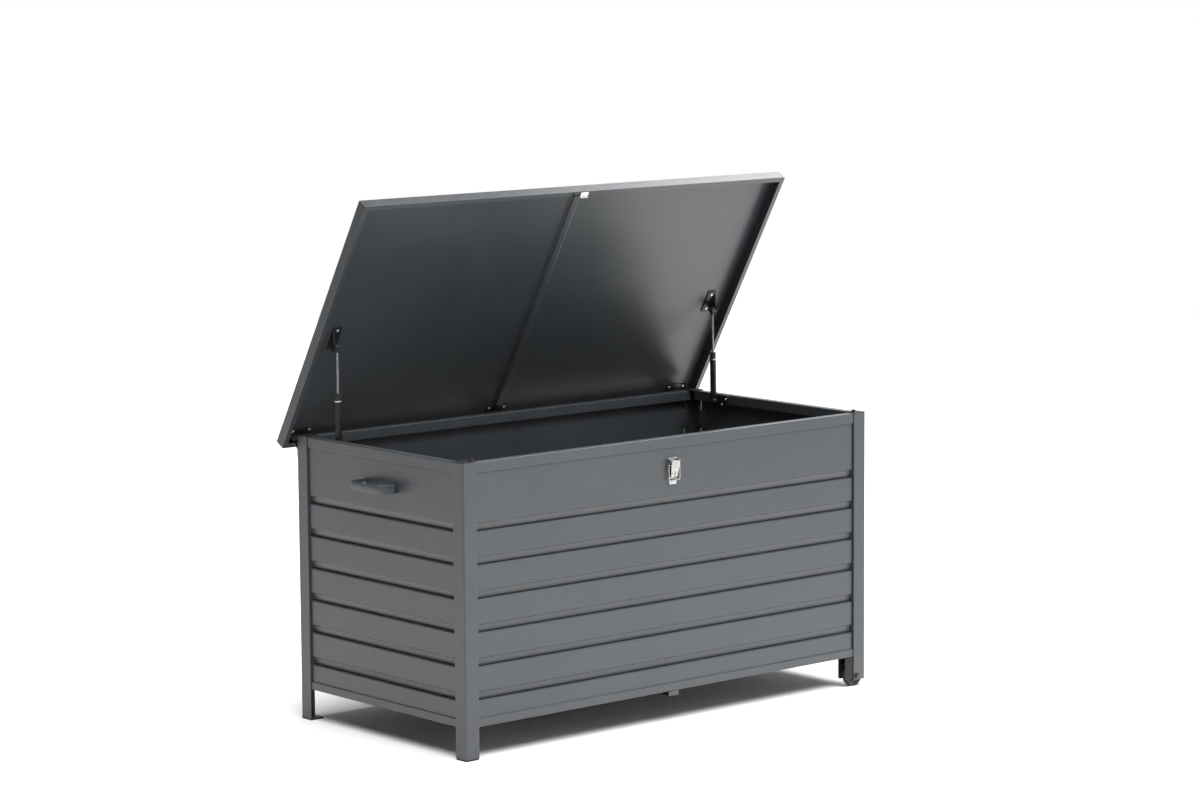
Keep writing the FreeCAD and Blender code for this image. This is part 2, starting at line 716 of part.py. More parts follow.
def makeScrews():
    """Screw heads: those that stay with the box, and those that swing with the lid."""
    boxHeads = []
    lidHeads = []
    for centre in hingeCentres:
        onPost = abs(centre) > halfLength - postLeg - hingeLength / 2
        face = (halfDepth if onPost else halfDepth - railInset) + leafSheet + 0.1
        for x in (centre - 22.5, centre + 22.5):
            boxHeads.append(boltHead((x, face, hingeZ - 20), (0, 1, 0), 3.6, 2.0))
            spot = (x, hingeY - 14, lidUnderside - leafSheet - 0.1)
            lidHeads.append(boltHead(spot, (0, 0, -1), 3.6, 2.0))

    for y, z in ((strutPivotY - 34, strutPivotZ + 5), (strutPivotY - 20, strutPivotZ - 8)):
        head = boltHead((-halfLength + 25.5, y, z), (1, 0, 0), 3.6, 1.8)
        boxHeads += [head, mirroredX(head)]

    latchFace = -halfDepth + panelInset - 0.1 - latchSheet
    boxHeads.append(boltHead((0, latchFace, latchBottom + 6), (0, -1, 0), 2.6, 1.4))
    handleFoot = handleFootSpan / 2 - handleFlange + 4.5
    for y in (-handleFoot, handleFoot):
        face = -halfLength + panelInset - 0.1 - handleSheet
        boxHeads.append(boltHead((face, y, handleZ), (-1, 0, 0), 3.6, 2.2))
    nodes["box_screws"] = group(boxHeads)

    studY = lidBack - lidStudDepth
    for y in (studY - 32, studY + 8):
        spot = (-halfLength + 38, y, lidUnderside - 0.1 - bracketSheet)
        head = boltHead(spot, (0, 0, -1), 3.6, 2.0)
        lidHeads += [head, mirroredX(head)]
    nodes["lid_screws"] = group([opened(head) for head in lidHeads])


def main():
    os.makedirs("parts", exist_ok=True)
    makePosts()
    makeCaps()
    makeFeet()
    makeWalls()
    makeJoiningPlates()
    makeFloor()
    makeHandle()
    makeWheels()
    makeHinges()
    makeLidShell()
    makeLidBrace()
    makeKeeper()
    makeStruts()
    makeLatch()
    makeScrews()
    for name, shape in nodes.items():
        shape.translate(vec(0, -originBehindCentre, 0))
        shape.exportStep("parts/" + name + ".step")
    print(len(nodes), "nodes written")


main()
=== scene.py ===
import json
import math
import bpy
import numpy as np
from mathutils import Matrix, Vector

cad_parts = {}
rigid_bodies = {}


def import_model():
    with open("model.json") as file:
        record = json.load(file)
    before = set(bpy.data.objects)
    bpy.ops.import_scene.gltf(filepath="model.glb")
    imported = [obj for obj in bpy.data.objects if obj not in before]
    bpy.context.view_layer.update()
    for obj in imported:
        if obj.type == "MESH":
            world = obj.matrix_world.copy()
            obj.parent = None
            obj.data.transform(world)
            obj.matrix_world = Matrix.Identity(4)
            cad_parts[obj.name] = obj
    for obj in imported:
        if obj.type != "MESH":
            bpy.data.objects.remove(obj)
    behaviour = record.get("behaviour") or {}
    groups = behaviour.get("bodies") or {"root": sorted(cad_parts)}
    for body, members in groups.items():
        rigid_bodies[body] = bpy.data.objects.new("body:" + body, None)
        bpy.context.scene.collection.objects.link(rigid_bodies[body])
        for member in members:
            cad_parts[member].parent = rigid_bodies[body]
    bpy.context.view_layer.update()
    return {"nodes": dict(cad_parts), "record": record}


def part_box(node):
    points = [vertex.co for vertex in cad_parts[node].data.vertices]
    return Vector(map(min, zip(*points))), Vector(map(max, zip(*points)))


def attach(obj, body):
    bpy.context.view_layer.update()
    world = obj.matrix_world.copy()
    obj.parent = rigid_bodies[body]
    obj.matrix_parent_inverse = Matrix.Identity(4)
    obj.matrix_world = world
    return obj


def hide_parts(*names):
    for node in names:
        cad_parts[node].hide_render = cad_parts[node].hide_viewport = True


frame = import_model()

nodes = frame["nodes"]
hair = 0.00001  # two places closer than this are the same place
print("stage: frame loaded,", len(nodes), "nodes")


# node helpers and the groups that the finishes share; noises are given as detail, roughness, distortion

floatKind = "NodeSocketFloat"
vectorKind = "NodeSocketVector"
grainLook = {
    "fine": (2.0, 0.55), "coarse": (1.0, 0.5), "slow": (4.0, 0.6, 0.4),
    "coarseScale": 0.17, "fineShare": 0.6, "coarseShare": 0.4, "mottleSpan": (0.3, 0.7),
}
rubLook = {
    "samples": 6, "turnedSpan": (0.01, 0.12), "patches": (5.0, 0.65), "patchSpan": (0.4, 0.62, 0.15, 1.0),
}
filmLook = {
    "levelSpan": (0.5, 1.0), "lowSpan": (0.12, 0.0, 0.0, 0.6),
    "patchScale": 38.0, "patches": (6.0, 0.7), "patchSpan": (0.35, 0.7),
}
hairlineLook = {
    "lineScale": 1.0, "lines": (3.0, 0.6), "hazeScale": 70.0, "haze": (4.0, 0.6), "hazeSpan": (0.35, 0.7),
}


def feed(tree, socket, value):
    # a constant sits on the socket itself, an output is linked to it
    if isinstance(value, bpy.types.NodeSocket):
        tree.links.new(value, socket)
    else:
        socket.default_value = value


def addNode(tree, kind, values=None, **settings):
    node = tree.nodes.new(kind)
    for key, value in settings.items():
        setattr(node, key, value)
    for key, value in (values or {}).items():
        feed(tree, node.inputs[key], value)
    return node


def doMath(tree, operation, first, second, clamp=False):
    values = {0: first, 1: second}
    return addNode(tree, "ShaderNodeMath", values, operation=operation, use_clamp=clamp).outputs[0]


def remap(tree, value, low, high, newLow=0.0, newHigh=1.0):
    values = {"Value": value, "From Min": low, "From Max": high, "To Min": newLow, "To Max": newHigh}
    return addNode(tree, "ShaderNodeMapRange", values).outputs[0]


def addNoise(tree, vector, scale, detail, roughness, distortion=0.0):
    values = {"Vector": vector, "Scale": scale, "Detail": detail, "Roughness": roughness}
    values["Distortion"] = distortion
    return addNode(tree, "ShaderNodeTexNoise", values).outputs["Fac"]


def startGroup(name, inputs, outputs):
    tree = bpy.data.node_groups.new(name, "ShaderNodeTree")
    for socketName, kind, value in inputs:
        socket = tree.interface.new_socket(socketName, in_out="INPUT", socket_type=kind)
        if value is not None:
            socket.default_value = value
    for socketName, kind in outputs:
        tree.interface.new_socket(socketName, in_out="OUTPUT", socket_type=kind)
    return tree, tree.nodes.new("NodeGroupInput").outputs, tree.nodes.new("NodeGroupOutput").inputs


def makeGrainGroup(look):
    # fine surface texture: a height for bump, and a slow mottle for tone
    tree, start, end = startGroup(
        "surfaceGrain",
        [("Vector", vectorKind, None), ("Grain Scale", floatKind, 900.0),
         ("Mottle Scale", floatKind, 5.0)],
        [("Height", floatKind), ("Mottle", floatKind)],
    )
    coarseScale = doMath(tree, "MULTIPLY", start["Grain Scale"], look["coarseScale"])
    fine = addNoise(tree, start["Vector"], start["Grain Scale"], *look["fine"])
    coarse = addNoise(tree, start["Vector"], coarseScale, *look["coarse"])
    slow = addNoise(tree, start["Vector"], start["Mottle Scale"], *look["slow"])
    fineHeight = doMath(tree, "MULTIPLY", fine, look["fineShare"])
    coarseHeight = doMath(tree, "MULTIPLY", coarse, look["coarseShare"])
    feed(tree, end["Height"], doMath(tree, "ADD", fineHeight, coarseHeight))
    feed(tree, end["Mottle"], remap(tree, slow, *look["mottleSpan"]))
    return tree


def makeEdgeGroup(look):
    # where an edge has been rubbed: the rounded normal against the flat one, broken up by noise
    tree, start, end = startGroup(
        "edgeRub",
        [("Vector", vectorKind, None), ("Radius", floatKind, 0.0015), ("Break Up", floatKind, 60.0)],
        [("Mask", floatKind), ("Normal", vectorKind)],
    )
    bevel = addNode(tree, "ShaderNodeBevel", {"Radius": start["Radius"]}, samples=look["samples"])
    flat = addNode(tree, "ShaderNodeNewGeometry")
    pair = {0: bevel.outputs["Normal"], 1: flat.outputs["Normal"]}
    dot = addNode(tree, "ShaderNodeVectorMath", pair, operation="DOT_PRODUCT")
    turned = doMath(tree, "SUBTRACT", 1.0, dot.outputs["Value"])
    edge = remap(tree, turned, *look["turnedSpan"])
    noise = addNoise(tree, start["Vector"], start["Break Up"], *look["patches"])
    patchy = remap(tree, noise, *look["patchSpan"])
    feed(tree, end["Mask"], doMath(tree, "MULTIPLY", edge, patchy, clamp=True))
    feed(tree, end["Normal"], bevel.outputs["Normal"])
    return tree


def makeDustGroup(look):
    # a thin film of dust that lies on level faces and gathers towards the ground
    tree, start, end = startGroup(
        "dustFilm", [("Vector", vectorKind, None), ("Amount", floatKind, 0.2)], [("Mask", floatKind)],
    )
    flat = addNode(tree, "ShaderNodeNewGeometry")
    facing = addNode(tree, "ShaderNodeSeparateXYZ", {0: flat.outputs["Normal"]})
    place = addNode(tree, "ShaderNodeSeparateXYZ", {0: start["Vector"]})
    level = remap(tree, facing.outputs["Z"], *look["levelSpan"])
    low = remap(tree, place.outputs["Z"], *look["lowSpan"])
    noise = addNoise(tree, start["Vector"], look["patchScale"], *look["patches"])
    patchy = remap(tree, noise, *look["patchSpan"])
    film = doMath(tree, "MULTIPLY", doMath(tree, "ADD", level, low, clamp=True), patchy)
    feed(tree, end["Mask"], doMath(tree, "MULTIPLY", film, start["Amount"], clamp=True))
    return tree


def makeHairlineGroup(look):
    # hairline scratches drawn out along one axis, for plated and polished metal
    tree, start, end = startGroup(
        "hairlines",
        [("Vector", vectorKind, None), ("Stretch", vectorKind, (40.0, 1200.0, 1200.0))],
        [("Height", floatKind), ("Haze", floatKind)],
    )
    pair = {0: start["Vector"], 1: start["Stretch"]}
    stretched = addNode(tree, "ShaderNodeVectorMath", pair, operation="MULTIPLY").outputs[0]
    haze = addNoise(tree, start["Vector"], look["hazeScale"], *look["haze"])
    feed(tree, end["Height"], addNoise(tree, stretched, look["lineScale"], *look["lines"]))
    feed(tree, end["Haze"], remap(tree, haze, *look["hazeSpan"]))
    return tree


grainGroup = makeGrainGroup(grainLook)
edgeGroup = makeEdgeGroup(rubLook)
dustGroup = makeDustGroup(filmLook)
hairlineGroup = makeHairlineGroup(hairlineLook)


# finishes, one for each of the part's material slots

dustRoughening = 0.35


def useGroup(tree, group, vector, values):
    return addNode(tree, "ShaderNodeGroup", {"Vector": vector, **values}, node_tree=group).outputs


def mixColours(tree, factor, first, second):
    node = addNode(tree, "ShaderNodeMix", {0: factor}, data_type="RGBA")
    for index, value in ((6, first), (7, second)):
        feed(tree, node.inputs[index], (*value, 1.0) if isinstance(value, tuple) else value)
    return node.outputs[2]


def startFinish(name):
    material = bpy.data.materials.new(name)
    material.use_nodes = True
    tree = material.node_tree
    place = tree.nodes.new("ShaderNodeTexCoord").outputs["Object"]
    return material, tree, tree.nodes["Principled BSDF"].inputs, place


def addBump(tree, shader, look, height, normal):
    values = {"Strength": look["bump"], "Distance": look["bumpDepth"], "Height": height, "Normal": normal}
    feed(tree, shader["Normal"], addNode(tree, "ShaderNodeBump", values).outputs["Normal"])


def makeCoating(name, look):
    # paint, powder coat, enamel, moulded plastic and rubber: a tinted body, grain, rubbed edges and dust
    material, tree, shader, place = startFinish(name)
    scales = {"Grain Scale": look["grainScale"], "Mottle Scale": look["mottleScale"]}
    grain = useGroup(tree, grainGroup, place, scales)
    edge = useGroup(tree, edgeGroup, place, {"Radius": look["edgeRadius"]})
    dust = useGroup(tree, dustGroup, place, {"Amount": look["dust"]})
    body = mixColours(tree, grain["Mottle"], look["dark"], look["light"])
    body = mixColours(tree, doMath(tree, "MULTIPLY", edge["Mask"], look["rub"]), body, look["rubColour"])
    body = mixColours(tree, dust["Mask"], body, look["dustColour"])
    rough = remap(tree, grain["Mottle"], 0.0, 1.0, *look["roughness"])
    added = doMath(tree, "MULTIPLY", dust["Mask"], dustRoughening)
    feed(tree, shader["Base Color"], body)
    feed(tree, shader["Roughness"], doMath(tree, "ADD", rough, added, clamp=True))
    feed(tree, shader["Specular IOR Level"], look["specular"])
    addBump(tree, shader, look, grain["Height"], edge["Normal"])
    return material


def makeMetal(name, look):
    # bare or plated metal: hairlines, a cloudy haze and brighter rubbed edges
    material, tree, shader, place = startFinish(name)
    lines = useGroup(tree, hairlineGroup, place, {"Stretch": look["stretch"]})
    edge = useGroup(tree, edgeGroup, place, {"Radius": look["edgeRadius"]})
    body = mixColours(tree, lines["Haze"], look["dark"], look["light"])
    body = mixColours(tree, edge["Mask"], body, look["rubColour"])
    feed(tree, shader["Base Color"], body)
    feed(tree, shader["Metallic"], 1.0)
    feed(tree, shader["Roughness"], remap(tree, lines["Haze"], 0.0, 1.0, *look["roughness"]))
    addBump(tree, shader, look, lines["Height"], edge["Normal"])
    return material


slateLook = {
    "dark": (0.034, 0.038, 0.042), "light": (0.042, 0.047, 0.051),
    "rubColour": (0.14, 0.15, 0.16), "rub": 0.25,
    "dustColour": (0.22, 0.21, 0.20), "dust": 0.10,
    "roughness": (0.30, 0.38), "specular": 0.6,
    "grainScale": 900.0, "mottleScale": 3.0, "edgeRadius": 0.0016,
    "bump": 0.22, "bumpDepth": 0.0003,
}
plasticLook = {
    "dark": (0.010, 0.010, 0.011), "light": (0.016, 0.016, 0.017),
    "rubColour": (0.06, 0.06, 0.06), "rub": 0.4,
    "dustColour": (0.16, 0.16, 0.155), "dust": 0.03,
    "roughness": (0.45, 0.58), "specular": 0.35,
    "grainScale": 1500.0, "mottleScale": 25.0, "edgeRadius": 0.0008,
    "bump": 0.3, "bumpDepth": 0.0002,
}
enamelLook = {
    "dark": (0.009, 0.009, 0.010), "light": (0.014, 0.014, 0.015),
    "rubColour": (0.25, 0.25, 0.25), "rub": 0.35,
    "dustColour": (0.16, 0.16, 0.155), "dust": 0.02,
    "roughness": (0.24, 0.34), "specular": 0.3,
    "grainScale": 600.0, "mottleScale": 30.0, "edgeRadius": 0.0006,
    "bump": 0.1, "bumpDepth": 0.0002,
}
rubberLook = {
    "dark": (0.016, 0.016, 0.017), "light": (0.030, 0.030, 0.031),
    "rubColour": (0.09, 0.09, 0.088), "rub": 0.5,
    "dustColour": (0.28, 0.26, 0.23), "dust": 0.35,
    "roughness": (0.62, 0.80), "specular": 0.4,
    "grainScale": 1100.0, "mottleScale": 40.0, "edgeRadius": 0.0012,
    "bump": 0.45, "bumpDepth": 0.0003,
}
zincLook = {
    "dark": (0.52, 0.53, 0.55), "light": (0.68, 0.69, 0.71), "rubColour": (0.86, 0.86, 0.87),
    "roughness": (0.26, 0.42), "stretch": (900.0, 300.0, 900.0), "edgeRadius": 0.0005,
    "bump": 0.10, "bumpDepth": 0.0001,
}
nickelLook = {
    "dark": (0.30, 0.297, 0.287), "light": (0.42, 0.416, 0.402), "rubColour": (0.74, 0.73, 0.71),
    "roughness": (0.16, 0.26), "stretch": (1200.0, 1200.0, 60.0), "edgeRadius": 0.0006,
    "bump": 0.06, "bumpDepth": 0.0001,
}
rodLook = {
    "dark": (0.20, 0.205, 0.21), "light": (0.27, 0.275, 0.28), "rubColour": (0.45, 0.45, 0.46),
    "roughness": (0.16, 0.24), "stretch": (1500.0, 1500.0, 40.0), "edgeRadius": 0.0004,
    "bump": 0.06, "bumpDepth": 0.0001,
}

finishes = {
    "slate_coating": makeCoating("slatePowderCoat", slateLook),
    "black_plastic": makeCoating("blackPlastic", plasticLook),
    "black_steel": makeCoating("blackEnamel", enamelLook),
    "wheel_rubber": makeCoating("wheelRubber", rubberLook),
    "pad_rubber": makeCoating("padRubber", rubberLook),
    "zinc_steel": makeMetal("zincPlate", zincLook),
    "rod_steel": makeMetal("pistonChrome", rodLook),
    "nickel": makeMetal("nickelPlate", nickelLook),
}
slotOf = {part["node"]: part["material_slot"] for part in frame["record"]["subparts"]}
for name, node in nodes.items():
    node.data.materials.clear()
    node.data.materials.append(finishes[slotOf[name]])
print("stage: finishes on", len(nodes), "nodes")


# modelling helpers: everything is picked in code, by place or by the way it faces

facing = 0.9  # dot product: turned towards a direction
squareOn = 0.99  # dot product: square on to it


def readyToModel():
    if bpy.context.object and bpy.context.object.mode != "OBJECT":
        bpy.ops.object.mode_set(mode="OBJECT")
    bpy.ops.object.select_all(action="DESELECT")


def takeUp(piece):
    readyToModel()
    piece.select_set(True)
    bpy.context.view_layer.objects.active = piece


def settle(piece):
    # leaves the object at the origin, with its place in its mesh
    takeUp(piece)
    bpy.ops.object.transform_apply(location=True, rotation=True, scale=True)


def shaping(piece):
    settle(piece)
    bpy.ops.object.mode_set(mode="EDIT")


def discard(piece):
    takeUp(piece)
    bpy.ops.object.delete()


def pick(piece, kind, wanted):
    bpy.ops.mesh.select_mode(type=kind)
    bpy.ops.mesh.select_all(action="DESELECT")
    bpy.ops.object.mode_set(mode="OBJECT")
    mesh = piece.data
    for element in {"VERT": mesh.vertices, "EDGE": mesh.edges, "FACE": mesh.polygons}[kind]:
        element.select = bool(wanted(element))
    bpy.ops.object.mode_set(mode="EDIT")


def pickFaces(piece, wanted):
    pick(piece, "FACE", lambda face: wanted(face.center, face.normal))


def pickEdges(piece, wanted):
    pick(piece, "EDGE", lambda edge: wanted(*[piece.data.vertices[end].co for end in edge.vertices]))


def cutAway(piece, cutter):
    settle(cutter)
    takeUp(piece)
    cut = piece.modifiers.new("cut", "BOOLEAN")
    cut.operation = "DIFFERENCE"
    cut.solver = "EXACT"
    cut.object = cutter
    bpy.ops.object.modifier_apply(modifier="cut")
    discard(cutter)


def roundEdges(piece, width, steps=2, angle=35.0):
    settle(piece)
    edge = piece.modifiers.new("rounding", "BEVEL")
    edge.width = width
    edge.segments = steps
    edge.limit_method = "ANGLE"
    edge.angle_limit = math.radians(angle)
    bpy.ops.object.modifier_apply(modifier="rounding")


def copyOf(piece):
    takeUp(piece)
    bpy.ops.object.duplicate(linked=False)
    return bpy.context.object


def joined(pieces):
    readyToModel()
    for piece in pieces:
        piece.select_set(True)
    bpy.context.view_layer.objects.active = pieces[0]
    bpy.ops.object.join()
    return bpy.context.object


def titled(prefix, name):
    return prefix + "".join(word.title() for word in name.split("_"))


def placeOf(name):
    # the middle and the size of a CAD node's box
    low, high = [Vector(corner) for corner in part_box(name)]
    return (low + high) / 2, high - low


def fitPiece(piece, pieceName, name, smoothAngle=30.0):
    # finishes a piece and puts it on the body of the CAD node that it stands for
    shaping(piece)
    bpy.ops.mesh.select_all(action="SELECT")
    bpy.ops.mesh.normals_make_consistent(inside=False)
    bpy.ops.object.mode_set(mode="OBJECT")
    bpy.ops.object.shade_smooth_by_angle(angle=math.radians(smoothAngle))
    piece.name = pieceName
    piece.data.name = pieceName
    piece.data.materials.clear()
    piece.data.materials.append(finishes[slotOf[name]])
    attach(piece, nodes[name].parent.name.replace("body:", ""))
    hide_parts(name)


# pressed and moulded parts whose shape is right: a copy with its edges properly rounded over

softened = {
    "handle": 0.0007, "post_caps": 0.0005, "foot_plugs": 0.0006, "joining_plates": 0.0003,
    "latch_base": 0.00035, "latch_keeper": 0.0003, "hinge_leaves_box": 0.0003, "hinge_leaves_lid": 0.0003,
    "strut_brackets_box": 0.0004, "strut_brackets_lid": 0.0004, "wheel_fork_front": 0.0004,
    "wheel_fork_back": 0.0004, "axle_front": 0.0003, "axle_back": 0.0003, "strut_eye_left": 0.0007,
    "strut_eye_right": 0.0007, "strut_fittings_left": 0.0005, "strut_fittings_right": 0.0005,
    "keeper_pad": 0.0005, "beam_tabs": 0.0004,
}
flatWithin = 0.5  # degrees between triangles of one flat face

for name, width in softened.items():
    piece = copyOf(nodes[name])
    shaping(piece)
    bpy.ops.mesh.select_all(action="SELECT")
    bpy.ops.mesh.remove_doubles(threshold=hair)
    bpy.ops.mesh.dissolve_limited(angle_limit=math.radians(flatWithin))
    bpy.ops.object.mode_set(mode="OBJECT")
    roundEdges(piece, width)
    fitPiece(piece, titled("rounded", name), name)
print("stage: edges rounded on", len(softened), "parts")


# screws: a domed head with a cross recess, modelled once and copied to every seat

screwLook = {
    "radius": 0.0036, "height": 0.0020, "sides": 32, "dome": 0.0013, "domeSteps": 5, "turnEach": 37.0,
    "crossWidth": 0.0008, "crossReach": 0.0016, "crossDepth": 0.0011, "crossTaper": 0.6,
    "seatReach": 0.0085, "smooth": 25.0,
}


def makeScrewHead(look):
    readyToModel()
    bpy.ops.mesh.primitive_cylinder_add(
        vertices=look["sides"], radius=look["radius"], depth=look["height"],
        location=(0, 0, look["height"] / 2),
    )
    head = bpy.context.object
    shaping(head)
    top = look["height"] - hair
    pickEdges(head, lambda first, second: first.z > top and second.z > top)
    bpy.ops.mesh.bevel(offset=look["dome"], segments=look["domeSteps"], affect="EDGES")
    bpy.ops.object.mode_set(mode="OBJECT")

    readyToModel()
    width = look["crossWidth"]
    bpy.ops.mesh.primitive_cube_add(size=width, location=(0, 0, look["height"]))
    cross = bpy.context.object
    cross.scale = (1, 1, 2 * look["crossDepth"] / width)
    shaping(cross)
    for across in (Vector((1, 0, 0)), Vector((-1, 0, 0)), Vector((0, 1, 0)), Vector((0, -1, 0))):
        pickFaces(cross, lambda spot, normal: normal.dot(across) > facing and spot.xy.length < width)
        bpy.ops.mesh.extrude_region_move(TRANSFORM_OT_translate={"value": across * look["crossReach"]})
    # the recess narrows towards its foot
    pickFaces(cross, lambda spot, normal: normal.z < -facing)
    bpy.ops.transform.resize(value=(look["crossTaper"], look["crossTaper"], 1))
    bpy.ops.object.mode_set(mode="OBJECT")
    cutAway(head, cross)
    return head


def headSeats(name, look):
    # foot, outward direction and radius of every head in a CAD group
    gathered = []
    for vertex in nodes[name].data.vertices:
        for group in gathered:
            if (vertex.co - group[0]).length < look["seatReach"]:
                group.append(vertex.co.copy())
                break
        else:
            gathered.append([vertex.co.copy()])
    seats = []
    for group in gathered:
        points = np.array([tuple(point) for point in group])
        middle = (points.max(axis=0) + points.min(axis=0)) / 2
        spread = points - points.mean(axis=0)
        # a head is flat, so its axis is the direction in which its points spread least
        direction = np.linalg.svd(spread, full_matrices=False)[2][2]
        along = (points - middle) @ direction
        out = np.linalg.norm((points - middle) - np.outer(along, direction), axis=1)
        # its foot is wider than its top
        if out[along > 0].max() > out[along < 0].max():
            direction, along = -direction, -along
        seats.append((Vector(middle + direction * along.min()), Vector(direction), float(out.max())))
    return seats


def makeScrews(head, pieceName, name, look):
    heads = []
    for index, (foot, direction, radius) in enumerate(headSeats(name, look)):
        copy = copyOf(head)
        spin = Matrix.Rotation(math.radians(index * look["turnEach"]), 4, "Z")
        face = direction.to_track_quat("Z", "Y").to_matrix().to_4x4()
        size = Matrix.Scale(radius / look["radius"], 4)
        copy.matrix_world = Matrix.Translation(foot) @ face @ spin @ size
        settle(copy)
        heads.append(copy)
    fitPiece(joined(heads), pieceName, name, look["smooth"])
    return len(heads)


screwHead = makeScrewHead(screwLook)
screwCount = makeScrews(screwHead, "boxScrewHeads", "box_screws", screwLook)
screwCount += makeScrews(screwHead, "lidScrewHeads", "lid_screws", screwLook)
discard(screwHead)
print("stage:", screwCount, "screw heads")


# wheels: a rounded tread with cross grooves, dished sides with spokes and a boss round the axle

wheelLook = {
    "sides": 96, "shoulder": 0.0025, "shoulderSteps": 4,
    "groovePitch": 4, "grooveEdge": 0.00035, "grooveDepth": 0.0008,
    "rimWidth": 0.0035, "dishStep": 0.0006, "dishDepth": 0.0022,
    "bossRadius": 0.0085, "bossStep": 0.0005, "bossHeight": 0.0018, "boreRadius": 0.00405,
    "spokes": 6, "spokeShare": 5, "spokeBand": 0.002, "spokeStep": 0.0004, "spokeHeight": 0.0013,
    "smooth": 28.0,
}


def makeWheel(look):
    size = placeOf("wheel_front")[1]
    radius = size.z / 2
    side = size.y / 2 - hair
    readyToModel()
    bpy.ops.mesh.primitive_cylinder_add(
        vertices=look["sides"], radius=radius, depth=size.y,
        location=(0, 0, 0), rotation=(math.pi / 2, 0, 0),
    )
    wheel = bpy.context.object
    shaping(wheel)

    def sector(spot):
        turn = math.atan2(spot.z, spot.x) / (2 * math.pi)
        return round(turn * look["sides"] - 0.5) % look["sides"]

    # an edge of the rim has both its ends on the same side
    pickEdges(wheel, lambda first, second: first.y * second.y > side * side)
    bpy.ops.mesh.bevel(offset=look["shoulder"], segments=look["shoulderSteps"], affect="EDGES")
    pickFaces(wheel, lambda spot, normal: (
        abs(normal.y) < 1 - squareOn and sector(spot) % look["groovePitch"] == 0
    ))
    bpy.ops.mesh.inset(thickness=look["grooveEdge"], depth=-look["grooveDepth"], use_individual=True)

    # from the rim inwards: the dish, its floor, the boss and the bore
    dish = radius - look["shoulder"] - look["rimWidth"] - look["dishStep"]
    steps = (
        (look["rimWidth"], 0), (look["dishStep"], -look["dishDepth"]), (dish - look["bossRadius"], 0),
        (look["bossStep"], look["bossHeight"]),
        (look["bossRadius"] - look["bossStep"] - look["boreRadius"], 0),
    )
    pickFaces(wheel, lambda spot, normal: abs(normal.y) > squareOn and abs(spot.y) > side)
    for thickness, depth in steps:
        bpy.ops.mesh.inset(thickness=thickness, depth=depth)
    bpy.ops.mesh.bridge_edge_loops()

    share = look["sides"] // look["spokes"]
    middle = (dish + look["bossRadius"]) / 2
    pickFaces(wheel, lambda spot, normal: (
        abs(normal.y) > squareOn and abs(spot.xz.length - middle) < look["spokeBand"]
        and sector(spot) % share < look["spokeShare"]
    ))
    bpy.ops.mesh.inset(thickness=look["spokeStep"], depth=look["spokeHeight"])
    bpy.ops.object.mode_set(mode="OBJECT")
    return wheel


wheel = makeWheel(wheelLook)
for name in ("wheel_front", "wheel_back"):
    copy = copyOf(wheel)
    copy.location = placeOf(name)[0]
    fitPiece(copy, titled("treaded", name), name, wheelLook["smooth"])
discard(wheel)
print("stage: wheels")


# latch lever: a tapered pressing with two cheeks, a rolled tip, a pressed panel and a slot near its end

leverLook = {
    "halfWidth": 0.0121, "tipHalfWidth": 0.0096, "sheet": 0.0016, "overPin": 0.0024, "underPin": 0.0340,
    "straight": 0.0140, "cheekDepth": 0.0062, "cheekFoot": 0.0120, "outFromPin": 0.0052, "lean": 11.0,
    "tipHeight": 0.0030, "roll": ((0, 0.0004, -0.0014), (0, 0.0011, -0.0013), (0, 0.0014, -0.0006)),
    "panelInset": 0.0030, "panelStep": 0.0006, "panelDepth": 0.0005,
    "bailDrop": 0.0090, "hole": 0.00155, "holeSides": 24, "drill": 0.04,
    "slot": (0.0012, 0.0045), "slotFoot": 0.0034, "slotDrill": 0.01, "slotRound": 0.0009,
    "edge": 0.0003, "edgeAngle": 40.0, "smooth": 28.0,
}


